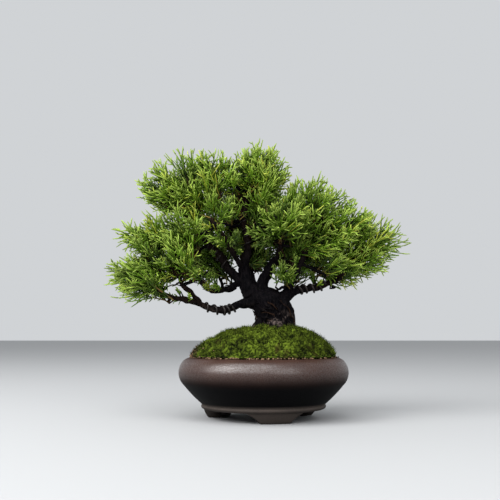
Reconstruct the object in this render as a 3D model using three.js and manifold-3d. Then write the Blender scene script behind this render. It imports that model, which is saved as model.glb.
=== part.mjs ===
// A small juniper bonsai in a round stoneware pot, as a scene graph of its real pieces.
// Millimetres, +Z up, +X to the viewer's right, -Y towards the viewer. The origin is on the pot's axis,
// at the level of the surface that its three feet stand on.
import * as THREE from "three";
import { mergeVertices } from "three/addons/utils/BufferGeometryUtils.js";
import Module from "manifold-3d";

const wasm = await Module();
wasm.setup();

// ---------------------------------------------------------------------------------------------
// Driving dimensions
// ---------------------------------------------------------------------------------------------

const GAP = 0.3; // clearance between pieces that touch or are cut by each other

// Pot
const BELLY_RADIUS = 60; // the widest ring of the pot
const BELLY_Z = 32;
const RIM_Z = 42.3;
const LIP_RADIUS = 49; // the opening
const LIP_FLAT = 4; // width of the level top of the lip
const WALL = 4.6;
const BASE_RADIUS = 43; // where the flank meets the foot band
const BAND_BULGE = 1.1;
const BAND_HEIGHT = 3.2;
const FOOT_HEIGHT = 7;
const FLOOR_THICKNESS = 5;
const FLOOR_Z = FOOT_HEIGHT + FLOOR_THICKNESS;
const POT_SEGMENTS = 40;
const DRAIN_SEGMENTS = 24;
const TIE_HOLE_SEGMENTS = 12;

// Feet
const FOOT_COUNT = 3;
const FOOT_TURN = -79; // degrees from +X to the middle of the front foot
const FOOT_TOP_HALF = 19.4;
const FOOT_SOLE_HALF = 10.2;
const FOOT_OUTER = 42;
const FOOT_INNER = 30;

// Holes in the pot's floor
const DRAIN_RADIUS = 7;
const TIE_HOLE_RADIUS = 2;
const TIE_HOLE_X = 20;
const TIE_HOLE_Y = 14;

// Drainage mesh: a square of plastic netting with square holes
const NET_CELLS = 5;
const NET_PITCH = 4.4;
const NET_HOLE = 3;
const NET_THICKNESS = 0.9;
const NET_SIDE = NET_CELLS * NET_PITCH + 1.4;

// Wires
const CLIP_WIRE = 0.5; // radii
const TIE_WIRE = 0.6;
const HEAVY_WIRE = 0.8;
const LIGHT_WIRE = 0.45;
const WIRE_LIFT = 0.5; // between the bark and a wound wire
const WIRE_STEPS = 8; // path steps in each turn
const WIRE_SIDES = 6;
const FRAMES_IN_STEP = 4; // frames of the limb's curve in each path step of a wound wire
const CLIP_STEPS = 30; // path steps in the whole wire
const TIE_STEPS = 40;

// Mound of soil and moss
const MOSS_RADIUS = 51.5;
const MOSS_RISE = 18.5;
const SOIL_RISE = 14;
const SOIL_RADIUS = LIP_RADIUS - GAP - 0.5;
const LEFT_SLOPE = 2.5; // exponents of the dome: higher is fuller
const RIGHT_SLOPE = 4.2;
const MOUND_SEGMENTS = 28;
const MOSS_EDGE = 1.4; // thickness of the moss at its edge
const MOSS_RINGS = 8;
const SOIL_RINGS = 6;

// ---------------------------------------------------------------------------------------------
// Solids
// ---------------------------------------------------------------------------------------------

/** A closed three.js geometry as a manifold solid. */
function solid(geometry) {
  const bare = geometry.clone();
  bare.deleteAttribute("normal");
  bare.deleteAttribute("uv");
  const merged = mergeVertices(bare, 1e-4);
  return new wasm.Manifold(
    new wasm.Mesh({
      numProp: 3,
      vertProperties: merged.attributes.position.array,
      triVerts: new Uint32Array(merged.index.array),
    }),
  );
}

/** A manifold solid as a three.js geometry. */
function geometryOf(body) {
  const mesh = body.getMesh();
  return new THREE.BufferGeometry()
    .setAttribute("position", new THREE.BufferAttribute(mesh.vertProperties, 3))
    .setIndex(new THREE.BufferAttribute(mesh.triVerts, 1));
}

/** The union of several solids. */
function join(bodies) {
  return bodies.reduce((whole, body) => whole.add(body));
}

/** The largest separate body of a solid, so that crumbs left by a cut are dropped. */
function largest(body) {
  return body.decompose().reduce((best, b) => (b.volume() > best.volume() ? b : best));
}

/** A profile of [radius, height] points turned round the Z axis. */
function turned(profile, segments) {
  const points = profile.map(([r, z]) => new THREE.Vector2(r, z));
  return new THREE.LatheGeometry(points, segments).rotateX(Math.PI / 2);
}

/** Points of a smooth line through a few [radius, height] points. */
function smoothLine(knots, divisions) {
  const curve = new THREE.SplineCurve(knots.map(([r, z]) => new THREE.Vector2(r, z)));
  return curve.getPoints(divisions).map((p) => [p.x, p.y]);
}

/** An upright cylinder whose middle is at x, y, z. */
function cylinder(radius, height, segments, x, y, z) {
  const geometry = new THREE.CylinderGeometry(radius, radius, height, segments);
  return geometry.rotateX(Math.PI / 2).translate(x, y, z);
}

// ---------------------------------------------------------------------------------------------
// Pot
// ---------------------------------------------------------------------------------------------

/** One foot: a block with hollowed flanks, wide at the band and narrow at the sole, facing +Y. */
function footBlock() {
  const top = FOOT_HEIGHT + 1;
  const outline = new THREE.Shape();
  outline.moveTo(-FOOT_SOLE_HALF, 0);
  outline.lineTo(FOOT_SOLE_HALF, 0);
  outline.quadraticCurveTo(FOOT_SOLE_HALF, FOOT_HEIGHT / 3, FOOT_TOP_HALF, FOOT_HEIGHT);
  outline.lineTo(FOOT_TOP_HALF, top);
  outline.lineTo(-FOOT_TOP_HALF, top);
  outline.lineTo(-FOOT_TOP_HALF, FOOT_HEIGHT);
  outline.quadraticCurveTo(-FOOT_SOLE_HALF, FOOT_HEIGHT / 3, -FOOT_SOLE_HALF, 0);
  const block = new THREE.ExtrudeGeometry(outline, {
    depth: BELLY_RADIUS,
    bevelEnabled: false,
    curveSegments: 4,
  });
  return block.rotateX(Math.PI / 2).translate(0, BELLY_RADIUS, 0);
}

/** The ring that the feet are cut from: its outside draws in a little towards the soles. */
function footRing() {
  const top = FOOT_HEIGHT + 1;
  return turned(
    [
      [FOOT_INNER, 0],
      [FOOT_OUTER - 3, 0],
      [FOOT_OUTER, FOOT_HEIGHT],
      [FOOT_OUTER, top],
      [FOOT_INNER, top],
      [FOOT_INNER, 0],
    ],
    POT_SEGMENTS,
  );
}

/** The pot without its feet: the band, the flank, the rounded lip and the inside, turned as one section. */
function potBody() {
  const bandTop = FOOT_HEIGHT + BAND_HEIGHT;
  const band = smoothLine(
    [
      [BASE_RADIUS - 1, FOOT_HEIGHT],
      [BASE_RADIUS + BAND_BULGE, FOOT_HEIGHT + BAND_HEIGHT / 2],
      [BASE_RADIUS, bandTop],
    ],
    4,
  );
  const flank = smoothLine(
    [
      [BASE_RADIUS + 0.6, bandTop + 0.2],
      [49.3, 15.6],
      [54.6, 21.4],
      [58.6, 26.5],
      [BELLY_RADIUS, BELLY_Z],
      [58.7, 37],
      [56.2, 40.6],
      [LIP_RADIUS + LIP_FLAT, RIM_Z],
    ],
    13,
  );
  const inside = smoothLine(
    [
      [LIP_RADIUS, RIM_Z - 0.8],
      [LIP_RADIUS + 1.4, RIM_Z - 4.4],
      [BELLY_RADIUS - WALL, BELLY_Z],
      [54, 26],
      [49.5, 20.5],
      [41, FLOOR_Z],
    ],
    7,
  );
  const lip = [LIP_RADIUS + 0.8, RIM_Z];
  const section = [[0, FOOT_HEIGHT], ...band, ...flank, lip, ...inside, [0, FLOOR_Z]];
  return turned(section, POT_SEGMENTS);
}

/** The pot: its turned body with three feet, the drain hole and two tie holes. */
function makePot() {
  const ring = solid(footRing());
  const block = footBlock().rotateZ(-Math.PI / 2); // its middle now points along +X
  let pot = solid(potBody());
  for (let i = 0; i < FOOT_COUNT; i++) {
    const angle = THREE.MathUtils.degToRad(FOOT_TURN + (360 / FOOT_COUNT) * i);
    pot = pot.add(solid(block.clone().rotateZ(angle)).intersect(ring));
  }
  const depth = 3 * FLOOR_THICKNESS;
  pot = pot.subtract(solid(cylinder(DRAIN_RADIUS, depth, DRAIN_SEGMENTS, 0, 0, FOOT_HEIGHT)));
  for (const x of [-TIE_HOLE_X, TIE_HOLE_X]) {
    const tieHole = cylinder(TIE_HOLE_RADIUS, depth, TIE_HOLE_SEGMENTS, x, TIE_HOLE_Y, FOOT_HEIGHT);
    pot = pot.subtract(solid(tieHole));
  }
  return pot;
}

// ---------------------------------------------------------------------------------------------
// Drainage mesh and wires in the pot
// ---------------------------------------------------------------------------------------------

/** The netting: a thin square sheet with a grid of square holes. */
function makeNet() {
  const sheet = new THREE.BoxGeometry(NET_SIDE, NET_SIDE, NET_THICKNESS);
  const hole = new THREE.BoxGeometry(NET_HOLE, NET_HOLE, 3 * NET_THICKNESS);
  const first = (-(NET_CELLS - 1) / 2) * NET_PITCH;
  const holes = [];
  for (let i = 0; i < NET_CELLS; i++) {
    for (let j = 0; j < NET_CELLS; j++) {
      holes.push(solid(hole.clone().translate(first + i * NET_PITCH, first + j * NET_PITCH, 0)));
    }
  }
  return solid(sheet).subtract(join(holes)).translate([0, 0, FLOOR_Z + GAP + NET_THICKNESS / 2]);
}

/** A round wire along a list of points. */
function wireAlong(points, radius, steps, sides = WIRE_SIDES) {
  const section = new THREE.Shape();
  section.absarc(0, 0, radius, 0, 2 * Math.PI);
  const outline = new THREE.Shape(section.getPoints(sides / 2).slice(0, -1));
  const path = new THREE.CatmullRomCurve3(points);
  return new THREE.ExtrudeGeometry(outline, { extrudePath: path, steps, bevelEnabled: false });
}

const points3 = (list) => list.map((p) => new THREE.Vector3(...p));

const UNDER_Z = FOOT_HEIGHT - GAP - TIE_WIRE;
const CLIP_REACH = NET_PITCH; // the clip goes down through the holes beside the middle one
const CLIP_Y = 0;
const CLIP_TOP = FLOOR_Z + GAP + NET_THICKNESS + GAP + CLIP_WIRE;

/** The staple that holds the netting: over it, down through the drain hole and out under the floor. */
const CLIP_ROUTE = points3([
  [-11.5, CLIP_Y, UNDER_Z],
  [-6.6, CLIP_Y, UNDER_Z],
  [-CLIP_REACH, CLIP_Y, UNDER_Z + 1],
  [-CLIP_REACH, CLIP_Y, CLIP_TOP - 1.2],
  [-CLIP_REACH + 1.4, CLIP_Y, CLIP_TOP + 0.3],
  [CLIP_REACH - 1.4, CLIP_Y, CLIP_TOP + 0.3],
  [CLIP_REACH, CLIP_Y, CLIP_TOP - 1.2],
  [CLIP_REACH, CLIP_Y, UNDER_Z + 1],
  [6.6, CLIP_Y, UNDER_Z],
  [11.5, CLIP_Y, UNDER_Z],
]);

/** The wire that ties the roots down: under the floor, up through both tie holes and over the roots. */
const TIE_ROUTE = points3([
  [-10.5, 10, 44],
  [-16, 12.5, 41],
  [-TIE_HOLE_X, TIE_HOLE_Y, 34],
  [-TIE_HOLE_X, TIE_HOLE_Y, 20],
  [-TIE_HOLE_X, TIE_HOLE_Y, UNDER_Z + 1.6],
  [-TIE_HOLE_X + 2, TIE_HOLE_Y, UNDER_Z],
  [0, TIE_HOLE_Y, UNDER_Z],
  [TIE_HOLE_X - 2, TIE_HOLE_Y, UNDER_Z],
  [TIE_HOLE_X, TIE_HOLE_Y, UNDER_Z + 1.6],
  [TIE_HOLE_X, TIE_HOLE_Y, 20],
  [TIE_HOLE_X, TIE_HOLE_Y, 34],
  [24, 17, 40],
  [29, 20, 42],
]);

// ---------------------------------------------------------------------------------------------
// Wood
// ---------------------------------------------------------------------------------------------

/** Each limb is a route of points, the radii spread evenly along it, and how finely it is built. */
const LIMBS = {
  trunk: {
    route: [
      [11, 1, 41], [10, 1, 52], [9.2, 0.5, 61], [8.4, 0, 69], [5, 0, 77.5], [-1.5, 0.5, 83.5], [-7, 1, 88],
    ],
    radii: [17, 16, 14, 12.8, 12.6, 9.8, 6],
    sides: 14,
    steps: 14,
  },
  shoulder: {
    route: [[8, 0, 74], [12, 0, 82], [14, 0.5, 87]],
    radii: [10, 8.5, 4.5],
    sides: 12,
    steps: 5,
  },
  root_left: {
    route: [[3, -3, 71], [-2, -6, 66], [-8, -9, 59], [-14, -12, 48]],
    radii: [4.6, 4.2, 3.6, 2.4],
  },
  root_front: {
    route: [[9, -8, 68], [9, -13, 62], [10, -17, 56], [11, -20, 48]],
    radii: [6, 5, 4, 3],
  },
  root_right: {
    route: [[15, 1, 69], [18, 2, 62], [20, 3, 56], [22, 4, 48]],
    radii: [6.5, 5.2, 4.4, 3.2],
  },
  root_back: {
    route: [[6, 8, 68], [3, 14, 61], [0, 18, 55], [-3, 22, 48]],
    radii: [6, 5, 4, 3],
  },
  leader: {
    route: [
      [-7.5, 1, 87], [-12.5, 1.5, 96], [-13.9, 2, 106], [-11, 3, 119], [-11.6, 3, 130], [-13.8, 2, 141],
      [-12.4, 1, 152], [-9.2, 0, 163],
    ],
    radii: [7, 5, 3.6, 2.7, 2.4, 2.3, 2.1, 1.8],
    steps: 14,
  },
  left_low: {
    route: [
      [-2, -1, 84], [-12, -2, 81], [-18, -3, 79.3], [-24.3, -5, 76.2], [-29.6, -8, 75.2], [-40.2, -12, 77.6],
      [-45.3, -14, 80.1], [-55.8, -18, 82.7], [-71, -24, 86], [-84, -28, 93],
    ],
    radii: [6.3, 4, 2.8, 2.3, 2.1, 2, 1.9, 1.8, 1.5, 1.2],
    steps: 16,
  },
  left_low_shoot: {
    route: [
      [-43.6, -13.4, 79.2], [-50, -17, 87.2], [-55.9, -19, 92.2], [-60, -19, 104], [-63, -16, 118],
    ],
    radii: [1.8, 1.6, 1.4, 1.3, 1],
  },
  left_back: {
    route: [
      [-10, 2, 93], [-18, 3, 94.6], [-26.5, 6, 91.2], [-35.8, 9, 89.4], [-42.4, 12, 93], [-48, 20, 101],
      [-50, 28, 110],
    ],
    radii: [3.4, 2.1, 1.7, 1.6, 1.4, 1.2, 1],
    steps: 14,
  },
  upper_left: {
    route: [
      [-11, 2, 95], [-18, 2, 99], [-24.5, 2, 104.4], [-31, 1, 114], [-35.4, 0, 119], [-40.2, -1, 124],
      [-45.5, -3, 134], [-52, -6, 146], [-56, -8, 158],
    ],
    radii: [4.4, 3.5, 3, 2.7, 2.5, 2.3, 2.1, 1.8, 1.2],
    steps: 16,
  },
  centre_left: {
    route: [
      [-13.6, 2, 102], [-16, -3, 107], [-20.5, -10, 114], [-25, -15, 122], [-31, -20, 131], [-37, -23, 138],
    ],
    radii: [2.5, 2, 1.7, 1.5, 1.3, 1],
  },
  back: {
    route: [[-9, 3, 94], [-10, 10, 101], [-11, 19, 110], [-9, 30, 122], [-6, 40, 134], [-6, 42, 148]],
    radii: [4, 3.2, 2.8, 2.3, 1.9, 1.2],
  },
  second_stem: {
    route: [
      [1, 1, 82], [-0.8, 3, 90], [0.1, 4, 96.2], [2.9, 5, 102.6], [8.4, 6, 110], [15, 6, 114.8], [23, 5, 123],
      [34, 4, 132.5], [42, 3, 143],
    ],
    radii: [7, 5.2, 4.2, 3.7, 3.3, 2.9, 2.5, 2, 1.3],
    steps: 16,
  },
  centre_right: {
    route: [[6, 5, 107], [10, -3, 113], [12.5, -10, 120], [14, -16, 128], [14, -20, 138]],
    radii: [2.6, 2, 1.7, 1.4, 1.1],
  },
  centre_low_shoot: {
    route: [[20, -1.5, 94.5], [17.5, -6, 98], [15, -11, 103]],
    radii: [1.6, 1.3, 1],
    steps: 5,
  },
  back_right: {
    route: [[9, 6, 110], [16, 17, 113], [25, 28, 117], [35, 39, 121]],
    radii: [2.8, 2.2, 1.8, 1.2],
  },
  riser: {
    route: [
      [15, 0, 86], [18.5, -1, 91], [21.9, -3, 98], [25.5, -4, 106.7], [29.9, -4, 115.5], [34, -3, 121],
      [42, -2, 130],
    ],
    radii: [3.2, 2.4, 2, 1.9, 1.8, 1.6, 1.1],
    steps: 12,
  },
  right_low: {
    route: [
      [8, 0, 82], [15.5, 0, 84.5], [21.3, 1, 88.1], [28.9, 4, 91.1], [39.2, 7, 92.1], [48, 10, 96.1],
      [56.8, 13, 99.3], [68.6, 17, 105], [84, 22, 113],
    ],
    radii: [5.6, 3.7, 2.7, 2.3, 2.1, 2, 1.9, 1.6, 1.1],
    steps: 14,
  },
  right_low_shoot: {
    route: [[49, 10.4, 96.5], [54, 4, 99], [57, -4, 102]],
    radii: [1.6, 1.4, 1],
    steps: 6,
  },
};

const curveOf = (limb) => new THREE.CatmullRomCurve3(points3(limb.route));

/** The radius of a limb at a share t of its length. */
function radiusAt(limb, t) {
  const place = t * (limb.radii.length - 1);
  const below = Math.min(Math.floor(place), limb.radii.length - 2);
  return THREE.MathUtils.lerp(limb.radii[below], limb.radii[below + 1], place - below);
}

/** A limb as a cylinder bent along its route, with its own radius at each step. */
function limbGeometry(limb, grow) {
  const { sides = 6, steps = 8 } = limb;
  const curve = curveOf(limb);
  const frames = curve.computeFrenetFrames(steps);
  const geometry = new THREE.CylinderGeometry(1, 1, 1, sides, steps);
  const position = geometry.attributes.position;
  const v = new THREE.Vector3();
  for (let i = 0; i < position.count; i++) {
    v.fromBufferAttribute(position, i);
    const step = Math.round((v.y + 0.5) * steps);
    const t = step / steps;
    const radius = radiusAt(limb, t) + grow;
    const overrun = step === 0 ? -grow : step === steps ? grow : 0; // so that a grown limb is longer too
    const place = curve
      .getPoint(t)
      .addScaledVector(frames.tangents[step], overrun)
      .addScaledVector(frames.binormals[step], v.x * radius)
      .addScaledVector(frames.normals[step], v.z * radius);
    position.setXYZ(i, place.x, place.y, place.z);
  }
  return geometry;
}

/** The whole woody part, grown outwards by a clearance where it is used to cut its neighbours. */
function wood(grow = 0) {
  return join(Object.values(LIMBS).map((limb) => solid(limbGeometry(limb, grow))));
}

/** The training wires: the limb each is wound on, from which share of its length to which. */
const WOUND = {
  training_wire_left_low: { limb: "left_low", from: 0.27, to: 0.58, turns: 5, radius: HEAVY_WIRE },
  training_wire_right_low: { limb: "right_low", from: 0.3, to: 0.58, turns: 4.5, radius: HEAVY_WIRE },
  training_wire_upper_left: { limb: "upper_left", from: 0.28, to: 0.6, turns: 4.5, radius: LIGHT_WIRE },
  training_wire_leader: { limb: "leader", from: 0.46, to: 0.78, turns: 4.5, radius: LIGHT_WIRE },
  training_wire_second_stem: { limb: "second_stem", from: 0.56, to: 0.78, turns: 3, radius: LIGHT_WIRE },
};

/** A wire wound round its limb, thickened where it is used to cut its neighbours. */
function woundWire({ limb: name, from, to, turns, radius }, grow = 0) {
  const limb = LIMBS[name];
  const steps = Math.round(turns * WIRE_STEPS);
  const curve = curveOf(limb);
  const frames = curve.computeFrenetFrames(steps * FRAMES_IN_STEP);
  const route = [];
  for (let i = 0; i <= steps; i++) {
    const t = THREE.MathUtils.lerp(from, to, i / steps);
    const frame = Math.round(t * steps * FRAMES_IN_STEP);
    const angle = (2 * Math.PI * i) / WIRE_STEPS;
    const out = radiusAt(limb, t) + radius + WIRE_LIFT;
    route.push(
      curve
        .getPoint(t)
        .addScaledVector(frames.normals[frame], out * Math.cos(angle))
        .addScaledVector(frames.binormals[frame], out * Math.sin(angle)),
    );
  }
  return wireAlong(route, radius + grow, steps);
}

// ---------------------------------------------------------------------------------------------
// Soil and moss
// ---------------------------------------------------------------------------------------------

/** How high the mound stands at a place: a dome that is fuller on the right than on the left. */
function moundHeight(x, y, radius, rise) {
  const r = Math.hypot(x, y) / radius;
  const rightness = r > 0 ? (x / Math.hypot(x, y) + 1) / 2 : 0.5;
  const slope = THREE.MathUtils.lerp(LEFT_SLOPE, RIGHT_SLOPE, rightness);
  return rise * (1 - Math.min(r, 1) ** slope);
}

/** Lifts the vertices of a turned body that lie above a level by the mound's height. */
function heaped(geometry, level, radius, rise) {
  const position = geometry.attributes.position;
  for (let i = 0; i < position.count; i++) {
    const [x, y, z] = [position.getX(i), position.getY(i), position.getZ(i)];
    if (z > level) position.setZ(i, z + moundHeight(x, y, radius, rise));
  }
  return geometry;
}

/** Radii of the rings of a dome, closer together towards its edge. */
function domeRings(radius, count) {
  return Array.from({ length: count }, (_, i) => radius * Math.cos((Math.PI / 2) * (i / count)));
}

const SOIL_TOP = RIM_Z - 0.6;
const RECESS = 1.5; // above the netting, clear of the clip

/** The soil: it fills the pot up to the lip, rises into a dome, and leaves room for the netting. */
function makeSoil(woodCutter, tieCutter) {
  const inside = smoothLine(
    [
      [40.5, FLOOR_Z + GAP],
      [49, 20.8],
      [53.4, 26.2],
      [BELLY_RADIUS - WALL - 0.5, BELLY_Z],
      [LIP_RADIUS + 0.6, RIM_Z - 5.2],
      [SOIL_RADIUS, SOIL_TOP - 1.4],
    ],
    7,
  );
  const dome = domeRings(SOIL_RADIUS, SOIL_RINGS).map((r) => [r, SOIL_TOP]);
  const body = heaped(
    turned([[0, FLOOR_Z + GAP], ...inside, ...dome, [0, SOIL_TOP]], MOUND_SEGMENTS),
    SOIL_TOP - 0.1,
    SOIL_RADIUS,
    SOIL_RISE,
  );
  const side = NET_SIDE + 1;
  const height = CLIP_TOP + CLIP_WIRE + RECESS - FLOOR_Z;
  const recess = new THREE.BoxGeometry(side, side, 2 * height).translate(0, 0, FLOOR_Z);
  return largest(solid(body).subtract(solid(recess)).subtract(woodCutter).subtract(tieCutter));
}

const MOSS_FLOOR = RIM_Z + GAP;

/** The moss: a skin over the soil's dome, cut round the wood. */
function makeMoss(woodCutter, tieCutter) {
  const edge = MOSS_FLOOR + MOSS_EDGE;
  const dome = domeRings(MOSS_RADIUS, MOSS_RINGS).map((r) => [r, edge]);
  const top = heaped(
    turned([[0, MOSS_FLOOR], [MOSS_RADIUS - 1, MOSS_FLOOR], ...dome, [0, edge]], MOUND_SEGMENTS),
    MOSS_FLOOR + 0.1,
    MOSS_RADIUS,
    MOSS_RISE,
  );
  const under = domeRings(SOIL_RADIUS, SOIL_RINGS).map((r) => [r, SOIL_TOP + GAP]);
  const hollow = heaped(
    turned([[0, 0], [SOIL_RADIUS, 0], ...under, [0, SOIL_TOP + GAP]], MOUND_SEGMENTS),
    SOIL_TOP,
    SOIL_RADIUS,
    SOIL_RISE,
  );
  return largest(solid(top).subtract(solid(hollow)).subtract(woodCutter).subtract(tieCutter));
}

// ---------------------------------------------------------------------------------------------
// Foliage
// ---------------------------------------------------------------------------------------------

/** The pad of foliage that each branch carries: lobes, each given by its centre and half-sizes. */
const PADS = {
  foliage_apex: [
    [[-13, 1, 176], [21, 24, 19]],
    [[6, 0, 171], [14, 20, 15]],
    [[-4, 2, 186], [18, 19, 13]],
  ],
  foliage_upper_left: [
    [[-56, -6, 170], [24, 21, 20]],
    [[-75, -8, 164], [17, 17, 15]],
    [[-38, -4, 177], [16, 19, 13]],
  ],
  foliage_left_mid: [
    [[-62, -14, 132], [21, 22, 15]],
    [[-88, -18, 125], [16, 18, 13]],
  ],
  foliage_left_low: [
    [[-73, -24, 109], [26, 23, 18]],
    [[-91, -24, 100], [15, 16, 12]],
    [[-82, -24, 91], [20, 16, 11]],
  ],
  foliage_centre_left: [
    [[-41, -20, 140], [14, 16, 11]],
    [[-28, -12, 152], [13, 16, 11]],
  ],
  foliage_centre_right: [
    [[14, -19, 143], [16, 20, 14]],
    [[-2, -16, 129], [12, 14, 9]],
  ],
  foliage_centre_low: [[[14.5, -13, 104], [9, 9, 7.5]]],
  foliage_right_upper: [
    [[38, 2, 151], [26, 27, 21]],
    [[60, 4, 137], [22, 25, 16]],
    [[40, -4, 126], [21, 17, 12]],
  ],
  foliage_right_far: [
    [[86.5, 16, 130], [19, 20, 16]],
    [[73, 16, 114], [20, 20, 13]],
  ],
  foliage_right_low: [
    [[46, -4, 111], [22, 18, 8]],
    [[59, 4, 102], [13, 15, 9]],
  ],
  foliage_back_top: [
    [[-8, 33, 146], [32, 25, 26]],
    [[-6, 33, 162], [25, 23, 14]],
    [[-2, 20, 117], [14, 12, 9]],
  ],
  foliage_back_left: [[[-50, 33, 128], [26, 26, 20]]],
  foliage_back_right: [[[38, 34, 130], [27, 26, 20]]],
};
const LARGE_LOBE = 18; // half-size from which a lobe is built more finely
const LUMP = 0.07; // how much a lobe swells and draws in, as a share of its size
const LUMPS_ROUND = 6.5;

/** A lobe of a pad: a ball pulled to its half-sizes, with soft lumps. */
function lobeGeometry([centre, half], grow) {
  const geometry = new THREE.IcosahedronGeometry(1, Math.max(...half) > LARGE_LOBE ? 3 : 2);
  const position = geometry.attributes.position;
  const v = new THREE.Vector3();
  for (let i = 0; i < position.count; i++) {
    v.fromBufferAttribute(position, i);
    const [a, b, c] = v.toArray().map((q, axis) => Math.sin(LUMPS_ROUND * q + centre[axis]));
    v.multiplyScalar(1 + LUMP * (a * b + c));
    position.setXYZ(i, ...v.toArray());
  }
  return geometry.scale(...half.map((h) => h + grow)).translate(...centre);
}

/** One pad: lobes joined, grown by a clearance where it is used to cut its neighbours. */
function pad(lobes, grow = 0) {
  return join(lobes.map((lobe) => solid(lobeGeometry(lobe, grow))));
}

// ---------------------------------------------------------------------------------------------
// Assembly
// ---------------------------------------------------------------------------------------------

const clay = new THREE.MeshStandardMaterial({ color: 0x523e37, roughness: 0.42, metalness: 0 });
const earth = new THREE.MeshStandardMaterial({ color: 0x4a3626, roughness: 0.95, metalness: 0 });
const mossGreen = new THREE.MeshStandardMaterial({ color: 0x46600f, roughness: 0.95, metalness: 0 });
const bark = new THREE.MeshStandardMaterial({ color: 0x2d221e, roughness: 0.9, metalness: 0 });
const leafGreen = new THREE.MeshStandardMaterial({ color: 0x4f7a26, roughness: 0.7, metalness: 0 });
const darkWire = new THREE.MeshStandardMaterial({ color: 0x3a2c26, roughness: 0.45, metalness: 0.7 });
const netting = new THREE.MeshStandardMaterial({ color: 0x16181a, roughness: 0.6, metalness: 0 });

const bonsai = new THREE.Group();

function addPiece(name, geometry, material) {
  const mesh = new THREE.Mesh(geometry, material);
  mesh.name = name;
  bonsai.add(mesh);
}

const woodCutter = wood(GAP);
const tieCutter = solid(wireAlong(TIE_ROUTE, TIE_WIRE + GAP, TIE_STEPS));

addPiece("pot", geometryOf(makePot()), clay);
addPiece("drainage_mesh", geometryOf(makeNet()), netting);
addPiece("mesh_clip_wire", wireAlong(CLIP_ROUTE, CLIP_WIRE, CLIP_STEPS), darkWire);
addPiece("root_tie_wire", wireAlong(TIE_ROUTE, TIE_WIRE, TIE_STEPS), darkWire);
addPiece("soil", geometryOf(makeSoil(woodCutter, tieCutter)), earth);
addPiece("moss", geometryOf(makeMoss(woodCutter, tieCutter)), mossGreen);
addPiece("trunk_and_branches", geometryOf(wood()), bark);

const wireCutters = [];
for (const [name, wire] of Object.entries(WOUND)) {
  addPiece(name, woundWire(wire), darkWire);
  wireCutters.push(solid(woundWire(wire, GAP)));
}

const placed = [];
for (const [name, lobes] of Object.entries(PADS)) {
  const neighbours = [woodCutter, ...wireCutters, ...placed.map((other) => pad(other, 2 * GAP))];
  const cut = neighbours.reduce((body, neighbour) => body.subtract(neighbour), pad(lobes));
  addPiece(name, geometryOf(largest(cut)), leafGreen);
  placed.push(lobes);
}

export default bonsai;
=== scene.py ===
"""A small juniper bonsai in a round stoneware pot: the looks of its pieces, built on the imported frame.

Lengths are millimetres in this file and metres in the meshes. +Z is up, and the tree's front faces -Y.
"""

import math

import bpy
import numpy as np
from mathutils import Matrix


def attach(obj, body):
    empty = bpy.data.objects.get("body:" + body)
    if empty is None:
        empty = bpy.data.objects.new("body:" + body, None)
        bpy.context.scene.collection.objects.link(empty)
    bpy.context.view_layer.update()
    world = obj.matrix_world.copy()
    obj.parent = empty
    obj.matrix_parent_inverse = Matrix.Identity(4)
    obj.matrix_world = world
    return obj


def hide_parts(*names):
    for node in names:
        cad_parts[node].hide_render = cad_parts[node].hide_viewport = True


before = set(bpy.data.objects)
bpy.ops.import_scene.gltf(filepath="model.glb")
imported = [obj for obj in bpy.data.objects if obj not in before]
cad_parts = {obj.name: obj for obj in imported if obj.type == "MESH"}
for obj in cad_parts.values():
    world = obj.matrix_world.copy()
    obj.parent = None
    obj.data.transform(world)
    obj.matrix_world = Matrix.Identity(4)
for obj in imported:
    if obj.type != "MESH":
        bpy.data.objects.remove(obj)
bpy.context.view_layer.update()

MM = 0.001
UP = np.array([0.0, 0.0, 1.0])
TURN = 2 * math.pi  # all the way round, in radians


# ------------ Repeatable noise ------------

WORD = 0xFFFFFFFF  # keeps the hash to 32 bits
OCTAVE_STRENGTH = 0.55


def lattice(cell, seed):
    """A repeatable number from -1 to 1 for each cell: its whole numbers and the seed are mixed by large odd
    factors and shifts."""
    n = cell[..., 0] * 374761393 + cell[..., 1] * 668265263 + cell[..., 2] * 1440662683
    n = (n + seed * 974634777) & WORD
    n = ((n ^ (n >> 13)) * 1274126177) & WORD
    n = ((n ^ (n >> 16)) * 2246822519) & WORD
    return (n ^ (n >> 15)) / (WORD / 2) - 1


def noise(points, size, seed=0):
    """Smooth noise from -1 to 1: the eight corners of a point's cell, blended by 3t^2 - 2t^3 along each
    axis."""
    scaled = points / size
    cell = np.floor(scaled).astype(np.int64)
    t = scaled - cell
    t = t * t * (3 - 2 * t)
    value = 0
    for corner in np.ndindex(2, 2, 2):
        weight = np.prod(np.where(corner, t, 1 - t), axis=-1)
        value = value + weight * lattice(cell + corner, seed)
    return value


def rough(points, size, octaves, seed=0):
    """Noise with finer noise on it: each octave has half the size of the last and less of its strength."""
    return sum(OCTAVE_STRENGTH**i * noise(points, size / 2**i, seed + i) for i in range(octaves))


# ------------ Meshes ------------


def unit(v):
    """Directions of length 1."""
    return v / np.linalg.norm(v, axis=-1, keepdims=True)


def even_angles(count):
    """Angles spread evenly round a circle."""
    return np.arange(count) * TURN / count


def polar(r, angle, z):
    """Points round the Z axis: (r cos a, r sin a, z)."""
    return np.stack(np.broadcast_arrays(r * np.cos(angle), r * np.sin(angle), z), axis=-1)


def smoothstep(x, low, high):
    """A smooth rise from 0 at low to 1 at high, by 3t^2 - 2t^3."""
    t = np.clip((x - low) / (high - low), 0, 1)
    return t * t * (3 - 2 * t)


def new_object(name, data):
    """A new object, linked into the scene."""
    made = bpy.data.objects.new(name, data)
    bpy.context.scene.collection.objects.link(made)
    return made


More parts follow.
